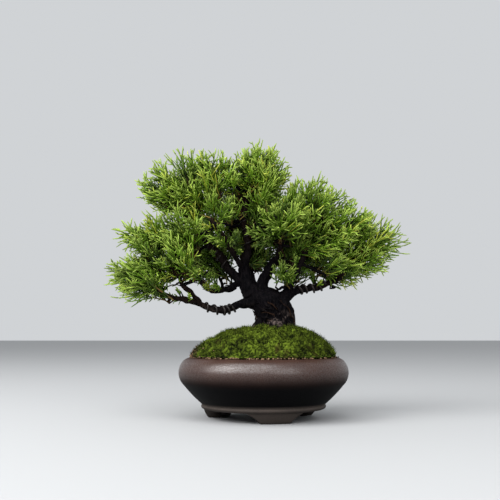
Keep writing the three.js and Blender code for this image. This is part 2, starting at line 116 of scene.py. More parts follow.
def mesh_piece(name, points, faces, material, stands_for=(), values=None):
    """A piece that rides on the root body: points in mm, faces as arrays of corner numbers, and numbers that
    each point carries for its material."""
    mesh = bpy.data.meshes.new(name)
    sizes = np.concatenate([np.full(len(f), f.shape[1]) for f in faces])
    corners = np.concatenate([f.ravel() for f in faces]).astype(np.int32)
    starts = np.concatenate([[0], np.cumsum(sizes)[:-1]]).astype(np.int32)
    mesh.vertices.add(len(points))
    mesh.vertices.foreach_set("co", (points * MM).astype(np.float32).ravel())
    mesh.loops.add(len(corners))
    mesh.loops.foreach_set("vertex_index", corners)
    mesh.polygons.add(len(sizes))
    mesh.polygons.foreach_set("loop_start", starts)
    mesh.polygons.foreach_set("use_smooth", np.ones(len(sizes), bool))
    for key, value in (values or {}).items():
        attribute = mesh.attributes.new(key, "FLOAT", "POINT")
        attribute.data.foreach_set("value", np.asarray(value, np.float32))
    mesh.update(calc_edges=True)
    mesh.materials.append(material)
    piece = new_object(name, mesh)
    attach(piece, "root")
    if stands_for:
        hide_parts(*stands_for)


def tube_faces(rings, sides):
    """Quads between neighbouring rings, and a fan at each end to a pole: the last two points are the
    poles."""
    ring, side = np.meshgrid(np.arange(rings - 1), np.arange(sides), indexing="ij")
    a = (ring * sides + side).ravel()
    b = (ring * sides + (side + 1) % sides).ravel()
    quads = np.stack([a, b, b + sides, a + sides], axis=1)
    j = np.arange(sides)
    k = (j + 1) % sides
    last = (rings - 1) * sides
    start = np.stack([np.full(sides, rings * sides), k, j], axis=1)
    end = np.stack([np.full(sides, rings * sides + 1), last + j, last + k], axis=1)
    return quads, np.vstack([start, end])


def spline(knots, samples):
    """Points of a centripetal Catmull-Rom curve through the knots, evenly spread over the knots."""
    k = np.asarray(knots, float)
    k = np.vstack([2 * k[0] - k[1], k, 2 * k[-1] - k[-2]])
    step = np.linalg.norm(np.diff(k, axis=0), axis=1) ** 0.5
    place = np.linspace(0, len(knots) - 1, samples)
    i = np.minimum(place.astype(int), len(knots) - 2)
    w = (place - i)[:, None]
    p0, p1, p2, p3 = (k[i + n] for n in range(4))
    d0, d1, d2 = (step[i + n][:, None] for n in range(3))
    leave = ((p1 - p0) / d0 - (p2 - p0) / (d0 + d1) + (p2 - p1) / d1) * d1
    arrive = ((p2 - p1) / d1 - (p3 - p1) / (d1 + d2) + (p3 - p2) / d2) * d1
    w2, w3 = w**2, w**3
    leaving = (2 * w3 - 3 * w2 + 1) * p1 + (w3 - 2 * w2 + w) * leave
    return leaving + (3 * w2 - 2 * w3) * p2 + (w3 - w2) * arrive


BACKWARDS = np.array([0.13, 1.0, 0.07])  # near +Y, and along no limb


def across(route):
    """Two directions square to a route at each of its points, the first as near as it can be to BACKWARDS."""
    tangent = unit(np.gradient(route, axis=0))
    u = unit(BACKWARDS - np.sum(BACKWARDS * tangent, axis=1, keepdims=True) * tangent)
    return u, np.cross(tangent, u)


def around(u, v, angle):
    """Directions at angles round a route: cos a u + sin a v."""
    return np.cos(angle) * u + np.sin(angle) * v


def tube(route, radii, sides, shape=None):
    """A closed tube: ring point = centre + radius (cos a u + sin a v), then moved out by what shape gives for
    the points, their angles, how far along they are and the radius there."""
    rings = len(route)
    u, v = across(route)
    angle = even_angles(sides)
    out = around(u[:, None], v[:, None], angle[:, None])
    radius = np.broadcast_to(np.asarray(radii, float).reshape(rings, 1), (rings, sides))
    points = route[:, None] + out * radius[..., None]
    if shape is not None:
        along = np.concatenate([[0], np.cumsum(np.linalg.norm(np.diff(route, axis=0), axis=1))])
        points = points + out * shape(points, angle[None, :], along[:, None], radius)[..., None]
    tangent = unit(np.gradient(route, axis=0))
    poles = np.stack([route[0] - tangent[0] * radii[0] * 0.5, route[-1] + tangent[-1] * radii[-1] * 0.8])
    quads, fans = tube_faces(rings, sides)
    return np.vstack([points.reshape(-1, 3), poles]), [quads, fans]


class Heap:
    """Several closed shapes gathered for one mesh, each point with its values."""

    def __init__(self, *keys):
        self.points, self.quads, self.fans = [], [], []
        self.values = {key: [] for key in keys}
        self.count = 0

    def add(self, points, faces, **values):
        """Adds one shape: its points, its quads and its triangles, and its values, the same for all points or
        one for each."""
        for store, part in zip((self.quads, self.fans), faces):
            store.append(part + self.count)
        self.points.append(points)
        for key, store in self.values.items():
            store.append(np.broadcast_to(np.asarray(values[key], float), (len(points),)))
        self.count += len(points)

    def piece(self, name, material, slot, stands_for=()):
        """Makes one piece of all the shapes."""
        values = {key: np.concatenate(store) for key, store in self.values.items()}
        faces = [np.vstack(self.quads), np.vstack(self.fans)]
        mesh_piece(name, np.vstack(self.points), faces, material, stands_for, values)


# ------------ Shader maths ------------


class Value:
    """A number in a node material. + and * add Math nodes, with the number on either side."""

    def __init__(self, shader, socket):
        self.shader, self.socket = shader, socket

    def maths(self, operation, other):
        """What a Math node makes of this number and another."""
        made = self.shader.node("Math", {"operation": operation}, {0: self, 1: other})
        return Value(self.shader, made.outputs[0])

    def __add__(self, other):
        return self.maths("ADD", other)

    __radd__ = __add__

    def __mul__(self, other):
        return self.maths("MULTIPLY", other)

    __rmul__ = __mul__

    def step(self, low, high):
        """0 below low and 1 above high, with a smooth rise between them."""
        settings = {"interpolation_type": "SMOOTHSTEP"}
        inputs = {"Value": self, "From Min": low, "From Max": high}
        return Value(self.shader, self.shader.node("MapRange", settings, inputs).outputs[0])


class Shader:
    """One node material and the means to build it."""

    def __init__(self, name):
        self.material = bpy.data.materials.new(name)
        self.material.use_nodes = True
        self.tree = self.material.node_tree
        self.bsdf = self.tree.nodes["Principled BSDF"]

    def node(self, kind, settings=None, inputs=None):
        """Adds a node: its settings first, then each input as a value or a link."""
        made = self.tree.nodes.new("ShaderNode" + kind)
        for key, value in (settings or {}).items():
            setattr(made, key, value)
        for key, value in (inputs or {}).items():
            self.put(made.inputs[key], value)
        return made

    def put(self, socket, value):
        """Links a Value or a socket, or sets a plain number or colour."""
        if isinstance(value, Value):
            self.tree.links.new(value.socket, socket)
        elif isinstance(value, bpy.types.NodeSocket):
            self.tree.links.new(value, socket)
        else:
            socket.default_value = value

    def place(self):
        """Place on the object, in metres."""
        return self.node("TexCoord").outputs["Object"]

    def attribute(self, name):
        """A number that each point of the mesh carries."""
        return Value(self, self.node("Attribute", {"attribute_name": name}).outputs["Fac"])

    def along(self, axis):
        """Place along an axis in millimetres: along Z it is the height above the table."""
        parts = self.node("SeparateXYZ", {}, {"Vector": self.place()})
        return Value(self, parts.outputs[axis]) * (1 / MM)

    def noise(self, size, detail=3.0, roughness=0.55, stretch=(1, 1, 1)):
        """Noise from 0 to 1 with features of about a size in millimetres, longer along a stretched axis."""
        scale = [1 / (size * MM * s) for s in stretch]
        place = self.node("VectorMath", {"operation": "MULTIPLY"}, {0: self.place(), 1: scale})
        inputs = {"Vector": place.outputs[0], "Scale": 1.0, "Detail": detail, "Roughness": roughness}
        return Value(self, self.node("TexNoise", {}, inputs).outputs["Fac"])

    def mix(self, factor, a, b):
        """The colour that is a at factor 0 and b at factor 1."""
        colours = {6: rgba(a), 7: rgba(b)}
        return self.node("Mix", {"data_type": "RGBA"}, {0: factor, **colours}).outputs[2]

    def brighter(self, colour, amount):
        """A colour times a number."""
        inputs = {0: colour, "Scale": amount}
        return self.node("VectorMath", {"operation": "SCALE"}, inputs).outputs[0]

    def bump(self, height, distance, strength=1.0):
        """Bumps of a distance in millimetres."""
        inputs = {"Height": height, "Distance": distance * MM, "Strength": strength}
        self.put(self.bsdf.inputs["Normal"], self.node("Bump", {}, inputs).outputs[0])

    def finish(self, **inputs):
        """Sets the surface's inputs, given with _ for each space, and returns the material."""
        for key, value in inputs.items():
            self.put(self.bsdf.inputs[key.replace("_", " ")], value)
        return self.material


def rgba(colour):
    """A colour given as red, green and blue from 0 to 255 as a screen shows them, or a socket as it is."""
    if not isinstance(colour, tuple):
        return colour
    linear = [((c / 255 + 0.055) / 1.055) ** 2.4 if c > 10 else c / 255 / 12.92 for c in colour]
    return (*linear, 1.0)


# ------------ Materials ------------


def clay_material():
    """Brown clay with a painted dark reflection low on the flank, a greyer foot with a painted highlight
    on the band's top, and a speckled sheen on the shoulder.
    """
    s = Shader("fired_clay")
    height = s.along("Z")
    patchy = s.noise(14, 3)
    fine = s.noise(1.1, 2)
    body = s.mix(patchy, (46, 31, 27), (68, 48, 41))
    # painted reflection: below about 37 mm the flank goes near black, standing in for a dark surface mirrored
    # there
    body = s.mix(height.step(37, 22), body, (3, 3, 4))
    foot = s.mix(patchy, (40, 36, 34), (60, 54, 50))
    # painted highlight: the foot colour is brightened towards the top edge of the band
    foot = s.brighter(foot, height.step(8, 9.5) * 0.9 + 1.0)
    colour = s.mix(height.step(12, 9.9), body, foot)
    colour = s.brighter(colour, fine * 0.5 + 0.75)
    s.bump(fine + patchy * 2, 0.12, 0.3)
    speckle = s.noise(0.6, 2).step(0.35, 0.65) * 0.75 + 0.45
    gloss = height.step(25, 36) * height.step(43, 38.5) * speckle
    return s.finish(Base_Color=colour, Roughness=0.6, Specular_IOR_Level=0.04, Coat_Weight=gloss,
                    Coat_Roughness=0.32, Coat_IOR=1.6)


def foliage_material():
    """Green from brown stems to pale tips, darker low on each plume, part of it painted shade. Some cords
    are yellowed, and painted shade darkens those far inside a pad or near the heart of the canopy.
    """
    s = Shader("juniper_foliage")
    tip, tone, inner = s.attribute("tip"), s.attribute("tone"), s.attribute("inner")
    # part painted shade: the green is near black low on each plume, where the cords lie inside the pad
    green = s.mix(tip.step(0.1, 0.7), (15, 40, 2), (88, 119, 24))
    green = s.mix(tip.step(0.7, 1.0), green, (136, 158, 66))
    green = s.mix(tip.step(0.04, 0.3), (88, 70, 28), green)
    yellowed = s.mix(tone.step(0.72, 1.0) * 0.5, green, (146, 136, 50))
    lit = s.brighter(yellowed, tone * 1.25 + 0.48)
    painted_shade_colour = s.mix(tip, (2, 9, 1), (23, 46, 6))
    # painted shade: cords far inside a pad or near the heart of the canopy are mixed towards near-black green
    colour = s.mix(inner * 0.9, lit, painted_shade_colour)
    return s.finish(Base_Color=colour, Roughness=0.5, Specular_IOR_Level=0.2)


def moss_material():
    """Green clumps with near-black painted shade between them, pale tips brightest on the clumps, brown
    patches, and bare earth at the left edge.
    """
    s = Shader("live_moss")
    tip = s.attribute("tip")
    patch = s.noise(11, 3)
    clump_and_shade = s.noise(9, 2)
    # painted shade: between the clumps the moss goes near black
    green = s.mix(clump_and_shade.step(0.34, 0.7), (6, 10, 2), (35, 47, 7))
    green = s.mix(tip.step(0.2, 1.0) * (clump_and_shade.step(0.32, 0.7) * 0.7 + 0.3), green, (94, 110, 32))
    bare = s.along("X").step(-41, -50) * patch.step(0.3, 0.5)
    colour = s.mix(patch.step(0.58, 0.72) * 0.7, green, (44, 34, 16))
    colour = s.mix(bare * 0.85, colour, (40, 31, 20))
    return s.finish(Base_Color=colour, Roughness=0.95, Specular_IOR_Level=0.05)


def bark_material():
    """Near-black bark with grey flakes low on the trunk, and browner young wood."""
    s = Shader("juniper_bark")
    twig, flake = s.attribute("twig"), s.attribute("flake")
    streak = s.noise(1.4, 4, 0.65, (1, 1, 4))
    patch = s.noise(6, 2)
    dark = s.mix(streak.step(0.35, 0.7), (1, 1, 3), (16, 13, 15))
    grey = s.mix(streak.step(0.42, 0.62), (15, 13, 14), (90, 79, 74))
    colour = s.mix(flake * patch.step(0.5, 0.64), dark, grey)
    shoot = s.mix(streak, (42, 29, 20), (92, 64, 42))
    colour = s.mix(twig, colour, shoot)
    s.bump(streak, 0.9, 1.0)
    return s.finish(Base_Color=colour, Roughness=0.8, Specular_IOR_Level=0.05)


def wire_material():
    """Dark brown wire, a little mottled."""
    s = Shader("dark_brown_wire")
    colour = s.mix(s.noise(3, 2), (19, 15, 14), (38, 29, 26))
    return s.finish(Base_Color=colour, Roughness=0.42, Metallic=0.4)


def netting_material():
    """Black plastic, a little uneven."""
    s = Shader("black_netting")
    colour = s.mix(s.noise(2, 2), (18, 19, 20), (30, 31, 33))
    return s.finish(Base_Color=colour, Roughness=0.6)


def soil_material():
    """Dark earth with paler grains."""
    s = Shader("granular_soil")
    grain = s.noise(1.8, 3)
    colour = s.mix(grain.step(0.35, 0.65), (38, 28, 21), (138, 112, 84))
    s.bump(grain, 0.8, 0.8)
    return s.finish(Base_Color=colour, Roughness=0.95, Specular_IOR_Level=0.2)


clay = clay_material()
leaf = foliage_material()
moss_green = moss_material()
bark = bark_material()
wire_metal = wire_material()
black_net = netting_material()
earth = soil_material()


# ------------ Pot ------------

POT_SEGMENTS = 180
RIM_Z = 42.3
UNDER_Z = 7.0

# radius and height, from the drain hole's lower edge out, up, over the lip, down inside and back to the hole
UNDERSIDE = [(7.4, UNDER_Z), (20, UNDER_Z), (34, UNDER_Z), (41.6, UNDER_Z)]
BAND = [(42.3, 7.05), (43.4, 7.6), (43.9, 8.6), (43.6, 9.6), (42.9, 10.15)]
FLANK = [(43.9, 10.6), (49.3, 15.6), (54.6, 21.4), (58.6, 26.5), (60, 32), (58.9, 37), (56.6, 40.3),
         (54, 41.9)]
LIP = [(52.6, 42.25), (50.6, 42.2), (49.3, 41.7), (49, 40.9)]
INSIDE = [(50.4, 37.9), (55.4, 32), (54, 26), (49.5, 20.5), (41, 12.6), (38, 12), (20, 12), (7.4, 12),
          (7, 11.6), (7, 7.4)]
RUNS = ((BAND, 16), (FLANK, 60), (LIP, 14), (INSIDE, 40))  # each smooth run and its number of points

WAVER = 0.18  # how far the hand-made flank strays
WAVER_SIZE = 40
WAVER_SEED = 5

FEET_TURN = (-79, 41, 161)  # degrees round Z
FOOT_LEVELS = np.array([0, 0.25, 0.7, 1.4, 2.4, 3.4, 4.4, 5.2, 6.0, 6.6, 7.1, 8.0])
FOOT_INNER = 30.0
FOOT_MIDDLE = 34.6
SOLE_HALF, SOLE_OUTER = 10.2, 39.2  # half-width and outer radius at the sole
FOOT_SPREAD, FOOT_LEAN = 9.2, 2.9  # how much they grow up to the underside
SOLE_EDGE, SOLE_EDGE_RISE = 0.7, 0.35


def pot_profile():
    """The pot's section as one closed line: the flat underside, then four smooth runs."""
    flat = [(r, 0.0, z) for r, z in UNDERSIDE]
    runs = [spline([(r, 0.0, z) for r, z in run], count) for run, count in RUNS]
    return np.vstack([flat, *runs])[:, [0, 2]]


def turned(profile, segments):
    """A closed section turned round Z: point = (r cos a, r sin a, z), a ring of sections with no poles."""
    n = len(profile)
    points = polar(profile[:, 0], even_angles(segments)[:, None], profile[:, 1])
    i, j = np.meshgrid(np.arange(segments), np.arange(n), indexing="ij")
    i, j = i.ravel(), j.ravel()
    i2, j2 = (i + 1) % segments, (j + 1) % n
    quads = np.stack([i * n + j, i2 * n + j, i2 * n + j2, i * n + j2], axis=1)
    return points.reshape(-1, 3), quads


def outwards(points):
    """Level directions straight away from the Z axis."""
    return unit(points * [1, 1, 0] + [1e-9, 0, 0])


def turn_round_z(angle):
    """The matrix that turns rows of points round Z."""
    c, s = math.cos(angle), math.sin(angle)
    return np.array([[c, s, 0], [-s, c, 0], [0, 0, 1]])


def foot(turn):
    """A foot: a loop of points at each level, out along an outer arc and back along an inner one. The
    half-width grows from the sole to the band with a hollow curve, and the edges of the sole are rounded."""
    t = np.clip(FOOT_LEVELS / UNDER_Z, 0, 1)
    half = SOLE_HALF + FOOT_SPREAD * t**1.5
    outer = SOLE_OUTER + FOOT_LEAN * t**0.8
    tuck = SOLE_EDGE * np.exp(-FOOT_LEVELS / SOLE_EDGE_RISE)
    share = np.linspace(-1, 1, 28)
    rings = []
    for z, wide, front_r, back_r in zip(FOOT_LEVELS, half - tuck, outer - tuck, FOOT_INNER + tuck):
        x = share * wide
        front = np.stack([x, -np.sqrt(front_r**2 - x**2), np.full_like(x, z)], axis=1)
        back = np.stack([x[::-1], -np.sqrt(back_r**2 - x**2), np.full_like(x, z)], axis=1)
        rings.append(np.vstack([front, back]))
    poles = np.array([[0, -FOOT_MIDDLE, FOOT_LEVELS[0]], [0, -FOOT_MIDDLE, FOOT_LEVELS[-1]]])
    points = np.vstack([*rings, poles])
    return points @ turn_round_z(math.radians(turn + 90)), tube_faces(len(rings), len(rings[0]))


def build_pot():
    """The turned body, wavering a little above its foot, and three feet."""
    heap = Heap()
    points, quads = turned(pot_profile(), POT_SEGMENTS)
    waver = rough(points, WAVER_SIZE, 2, WAVER_SEED)[:, None] * WAVER
    waver = waver * smoothstep(points[:, 2:], 10, 20)
    heap.add(points + outwards(points) * waver, (quads, np.zeros((0, 3), int)))
    for turn in FEET_TURN:
        heap.add(*foot(turn))
    heap.piece("pot_body", clay, "clay", ["pot"])


# ------------ Wood ------------

# each limb: the points of its route, and the radii spread evenly along it
LIMBS = {
    "trunk": ([(11, 1, 41), (10, 1, 52), (9.2, 0.5, 61), (8.4, 0, 69), (5, 0, 77.5), (-1.5, 0.5, 83.5),
               (-7, 1, 88)],
              [17, 16, 14, 12.8, 12.6, 9.8, 6]),
    "shoulder": ([(8, 0, 74), (12, 0, 82), (14, 0.5, 87)],
                 [10, 8.5, 4.5]),
    "root_left": ([(3, -3, 71), (-2, -6, 66), (-8, -9, 59), (-14, -12, 48)],
                  [4.6, 4.2, 3.6, 2.4]),
    "root_front": ([(9, -8, 68), (9, -13, 62), (10, -17, 56), (11, -20, 48)],
                   [6, 5, 4, 3]),
    "root_right": ([(15, 1, 69), (18, 2, 62), (20, 3, 56), (22, 4, 48)],
                   [6.5, 5.2, 4.4, 3.2]),
    "root_back": ([(6, 8, 68), (3, 14, 61), (0, 18, 55), (-3, 22, 48)],
                  [6, 5, 4, 3]),
    "leader": ([(-7.5, 1, 87), (-12.5, 1.5, 96), (-13.9, 2, 106), (-11, 3, 119), (-11.6, 3, 130),
                (-13.8, 2, 141), (-12.4, 1, 152), (-9.2, 0, 163)],
               [7, 5, 3.6, 2.7, 2.4, 2.3, 2.1, 1.8]),
    "left_low": ([(-2, -1, 84), (-12, -2, 81), (-18, -3, 79.3), (-24.3, -5, 76.2), (-29.6, -8, 75.2),
                  (-40.2, -12, 77.6), (-45.3, -14, 80.1), (-55.8, -18, 82.7), (-71, -24, 86),
                  (-84, -28, 93)],
                 [6.3, 4, 2.8, 2.3, 2.1, 2, 1.9, 1.8, 1.5, 1.2]),
    "left_low_shoot": ([(-43.6, -13.4, 79.2), (-50, -17, 87.2), (-55.9, -19, 92.2), (-60, -19, 104),
                        (-63, -16, 118)],
                       [1.8, 1.6, 1.4, 1.3, 1]),
    "left_back": ([(-10, 2, 93), (-18, 3, 94.6), (-26.5, 6, 91.2), (-35.8, 9, 89.4), (-42.4, 12, 93),
                   (-48, 20, 101), (-50, 28, 110)],
                  [3.4, 2.1, 1.7, 1.6, 1.4, 1.2, 1]),
    "upper_left": ([(-11, 2, 95), (-18, 2, 99), (-24.5, 2, 104.4), (-31, 1, 114), (-35.4, 0, 119),
                    (-40.2, -1, 124), (-45.5, -3, 134), (-52, -6, 146), (-56, -8, 158)],
                   [4.4, 3.5, 3, 2.7, 2.5, 2.3, 2.1, 1.8, 1.2]),
    "centre_left": ([(-13.6, 2, 102), (-16, -3, 107), (-20.5, -10, 114), (-25, -15, 122), (-31, -20, 131),
                     (-37, -23, 138)],
                    [2.5, 2, 1.7, 1.5, 1.3, 1]),
    "back": ([(-9, 3, 94), (-10, 10, 101), (-11, 19, 110), (-9, 30, 122), (-6, 40, 134), (-6, 42, 148)],
             [4, 3.2, 2.8, 2.3, 1.9, 1.2]),
    "second_stem": ([(1, 1, 82), (-0.8, 3, 90), (0.1, 4, 96.2), (2.9, 5, 102.6), (8.4, 6, 110),
                     (15, 6, 114.8), (23, 5, 123), (34, 4, 132.5), (42, 3, 143)],
                    [7, 5.2, 4.2, 3.7, 3.3, 2.9, 2.5, 2, 1.3]),
    "centre_right": ([(6, 5, 107), (10, -3, 113), (12.5, -10, 120), (14, -16, 128), (14, -20, 138)],
                     [2.6, 2, 1.7, 1.4, 1.1]),
    "centre_low_shoot": ([(20, -1.5, 94.5), (17.5, -6, 98), (15, -11, 103)],
                         [1.6, 1.3, 1]),
    "back_right": ([(9, 6, 110), (16, 17, 113), (25, 28, 117), (35, 39, 121)],
                   [2.8, 2.2, 1.8, 1.2]),
    "riser": ([(15, 0, 86), (18.5, -1, 91), (21.9, -3, 98), (25.5, -4, 106.7), (29.9, -4, 115.5),
               (34, -3, 121), (42, -2, 130)],
              [3.2, 2.4, 2, 1.9, 1.8, 1.6, 1.1]),
    "right_low": ([(8, 0, 82), (15.5, 0, 84.5), (21.3, 1, 88.1), (28.9, 4, 91.1), (39.2, 7, 92.1),
                   (48, 10, 96.1), (56.8, 13, 99.3), (68.6, 17, 105), (84, 22, 113)],
                  [5.6, 3.7, 2.7, 2.3, 2.1, 2, 1.9, 1.6, 1.1]),
    "right_low_shoot": ([(49, 10.4, 96.5), (54, 4, 99), (57, -4, 102)],
                        [1.6, 1.4, 1]),
}


def radii_of(radii, samples):
    """A limb's radii at evenly spread samples of its length."""
    return np.interp(np.linspace(0, 1, samples), np.linspace(0, 1, len(radii)), radii)


def along_limb(limb, samples):
    """A limb's smooth route, two directions square to it and its radii, at evenly spread samples."""
    route, radii = LIMBS[limb]
    path = spline(route, samples)
    return path, *across(path), radii_of(radii, samples)


def bark_relief(seed):
    """How far bark stands out: knots, and strips that run along the limb with sharp furrows between them."""

    def shape(points, angle, along, radius):
        round_limb = 1.1 * np.minimum(radius, 9)
        furrow = 1 - 2 * np.abs(rough(polar(round_limb, angle, along / 5), 1.5, 2, seed))
        knots = rough(points, 2.6 * np.mean(radius) ** 0.6, 3, seed + 50)
        knot_height = 0.2 + 0.13 * np.minimum(radius, 10)
        return knot_height * knots + (0.1 + 0.055 * np.minimum(radius, 11)) * furrow

    return shape


TRUNK_HEAD = np.array([2.0, 0.0, 84.0])  # wood turns browner away from here
RING_STEP = 0.55
THICK_LIMB = 8.0
THICK_SIDES, THIN_SIDES = 150, 26
STRAY = 0.5  # how far a limb strays from its smooth route


def build_wood(heap):
    """Every limb as a tube with bark relief, along its route."""
    for seed, (route, radii) in enumerate(LIMBS.values()):
        length = np.sum(np.linalg.norm(np.diff(np.array(route, float), axis=0), axis=1))
        rings = int(length / RING_STEP)
        sides = THICK_SIDES if max(radii) > THICK_LIMB else THIN_SIDES
        path = spline(route, rings)
        path = path + STRAY * np.stack([rough(path, 7, 2, seed * 7 + k) for k in range(3)], axis=1)
        points, faces = tube(path, radii_of(radii, rings), sides, bark_relief(seed))
        flake = smoothstep(points[:, 2], 82, 66)
        young = smoothstep(np.linalg.norm(points - TRUNK_HEAD, axis=1), 22, 60)
        heap.add(points, faces, twig=0.1 * young, flake=flake)


FINE = 201  # points along a limb, to find a place on it
SHOOT_SIDES = 6  # of strands, stubs and twigs
STRANDS = 90
STRAND_KNOTS, STRAND_RINGS = 6, 18
STRAND_RADII = (0.25, 0.5, 0.45, 0.2)
STRAND_SEED = 6


def build_strands(heap):
    """Loose strips of bark and thin dead shoots that lie along the trunk and stand off it a little."""
    rng = np.random.default_rng(STRAND_SEED)
    fine, u, v, size = along_limb("trunk", FINE)
    for _ in range(STRANDS):
        share = rng.uniform(0.22, 0.65) + np.linspace(0, rng.uniform(0.1, 0.3), STRAND_KNOTS)
        k = (share * (FINE - 1)).astype(int)
        turn = (rng.uniform(0, TURN) + np.cumsum(rng.normal(0, 0.14, STRAND_KNOTS)))[:, None]
        out = (size[k] * 1.02 + rng.uniform(-0.2, 1.0, STRAND_KNOTS))[:, None]
        path = spline(fine[k] + out * around(u[k], v[k], turn), STRAND_RINGS)
        points, faces = tube(path, radii_of(STRAND_RADII, STRAND_RINGS), SHOOT_SIDES)
        flake = smoothstep(path[:, 2].mean(), 80, 66)
        heap.add(points, faces, twig=rng.choice([0.0, 0.0, 0.25]), flake=flake)


def standing_on(limb, shares, lean, rng):
    """Where small shoots leave a limb at shares of its length, and their ways: outwards, leaning forwards."""
    fine, u, v, size = along_limb(limb, FINE)
    tangent = unit(np.gradient(fine, axis=0))
    k = (shares * (FINE - 1)).astype(int)
    out = around(u[k], v[k], rng.uniform(0, TURN, (len(shares), 1)))
    ways = unit(out + rng.uniform(lean - 0.4, lean + 0.7, (len(shares), 1)) * tangent[k])
    return fine[k] + out * size[k, None] * 0.5, ways


def lifted(ways):
    """The same ways with any that point down turned up."""
    return ways * [1, 1, 0] + np.abs(ways) * UP


# limb, shares of its length between which dead stubs stand on it, and how many
STUBS = (("left_low", 0.3, 0.9, 9), ("left_back", 0.25, 0.9, 10), ("right_low", 0.25, 0.85, 12),
         ("riser", 0.1, 0.9, 8), ("upper_left", 0.15, 0.8, 10), ("centre_left", 0.2, 0.9, 6),
         ("leader", 0.1, 0.7, 12), ("second_stem", 0.25, 0.9, 10), ("left_low_shoot", 0.1, 0.9, 6),
         ("back_right", 0.2, 0.8, 5))
STUB_SEED = 7
STUB_LENGTHS = (2.5, 5.5)
STUB_RADII = (0.75, 0.5, 0.3)
STUB_RINGS = 7


def build_stubs(heap):
    """Short dead stubs that lean forwards from the limbs."""
    rng = np.random.default_rng(STUB_SEED)
    for limb, low, high, count in STUBS:
        starts, ways = standing_on(limb, rng.uniform(low, high, count), 0.6, rng)
        for start, way in zip(starts, lifted(ways)):
            end = start + way * rng.uniform(*STUB_LENGTHS)
            middle = (start + end) / 2 + rng.normal(0, 0.3, 3)
            route = spline([start, middle, end + rng.normal(0, 0.5, 3)], STUB_RINGS)
            points, faces = tube(route, radii_of(STUB_RADII, STUB_RINGS), SHOOT_SIDES)
            heap.add(points, faces, twig=0.0, flake=0.0)


# ------------ Foliage ------------

# each foliage pad: the point its shoots grow away from, how shaded it is, how full, and its lobes as centre
# and half-sizes
PADS = {
    "apex": ((-11, 2, 122), 0.0, 0.85,
        [((-13, 1, 176), (21, 24, 19)), ((6, 0, 171), (14, 20, 15)), ((-4, 2, 186), (18, 19, 13))]),
    "upper_left": ((-30, 0, 122), 0.0, 0.8,
        [((-56, -6, 170), (24, 21, 20)), ((-75, -8, 164), (17, 17, 15)), ((-38, -4, 177), (16, 19, 13))]),
    "left_mid": ((-36, -8, 112), 0.1, 0.8,
        [((-62, -14, 132), (21, 22, 15)), ((-88, -18, 125), (16, 18, 13))]),
    "left_low": ((-36, -14, 84), 0.05, 0.72,
        [((-73, -24, 109), (26, 23, 18)), ((-92, -24, 100), (16, 16, 12)),
         ((-82, -24, 91), (20, 16, 11))]),
    "centre_left": ((-30, -12, 122), 0.15, 0.8,
        [((-41, -20, 140), (14, 16, 11)), ((-28, -12, 152), (13, 16, 11))]),
    "centre_right": ((12, -8, 120), 0.05, 0.85,
        [((14, -19, 143), (16, 20, 14)), ((-2, -16, 129), (12, 14, 9))]),
    "centre_low": ((20, -1, 92), 0.4, 0.9,
        [((14.5, -13, 104), (9, 9, 7.5))]),
    "right_upper": ((8, 2, 108), 0.0, 0.85,
        [((38, 2, 151), (26, 27, 21)), ((60, 4, 137), (22, 25, 16)), ((40, -4, 126), (21, 17, 12))]),
    "right_far": ((28, 8, 92), 0.05, 0.7,
        [((85, 16, 130), (18, 20, 16)), ((73, 16, 114), (20, 20, 13))]),
    "right_low": ((14, 0, 88), 0.4, 0.75,
        [((46, -4, 111), (22, 18, 8)), ((59, 4, 102), (13, 15, 9))]),
    "back_top": ((-9, 8, 104), 0.3, 0.8,
        [((-8, 33, 146), (32, 25, 26)), ((-6, 33, 162), (25, 23, 14)), ((-2, 20, 117), (14, 12, 9))]),
    "back_left": ((-20, 6, 92), 0.35, 0.8,
        [((-50, 33, 128), (26, 26, 20))]),
    "back_right": ((8, 8, 96), 0.35, 0.8,
        [((38, 34, 130), (27, 26, 20))]),
}

# small sprigs on bare wood that belong to a pad: limb, shares of its length between which they stand, and
# how many
SPRIGS = {
    "back_left": (("left_back", 0.3, 0.85, 9),),
    "left_low": (("left_low", 0.72, 0.95, 6), ("left_low_shoot", 0.45, 0.9, 4)),
    "centre_left": (("upper_left", 0.3, 0.62, 9), ("centre_left", 0.35, 0.8, 8)),
    "apex": (("leader", 0.3, 0.75, 10),),
    "right_upper": (("second_stem", 0.4, 0.8, 6), ("riser", 0.3, 0.8, 5)),
    "right_far": (("right_low", 0.3, 0.7, 7),),
}

# balls of air, as centre and half-sizes, where the tree is pruned open so that the stems show
CLEARINGS = (((-12, -14, 146), (6, 17, 15)), ((-30, -14, 118), (17, 18, 17)), ((4, -14, 112), (9, 17, 11)),
             ((29, -6, 92), (20, 32, 9)), ((-52, -20, 88), (15, 25, 8)), ((28, -16, 109), (8, 16, 13)),
             ((44, 12, 85), (15, 20, 7.5)))
UNPRUNED = ("centre_low",)  # hangs in front of a clearing

PLUME_LENGTH = 33.0
CORD_RADIUS = 0.41
SHOOTS = 9
SUB_SHOOTS = (3, 2, 2, 1, 0)  # from the lowest shoots to the highest
TEMPLATES = 18
TEMPLATE_SEED = 11
GOLDEN_ANGLE = math.pi * (3 - math.sqrt(5))

# what the columns of a cord's row hold
START, RUN, BEND = slice(0, 3), slice(3, 6), slice(6, 9)
RADIUS, FROM, TO = slice(9, 10), slice(10, 11), slice(11, 12)


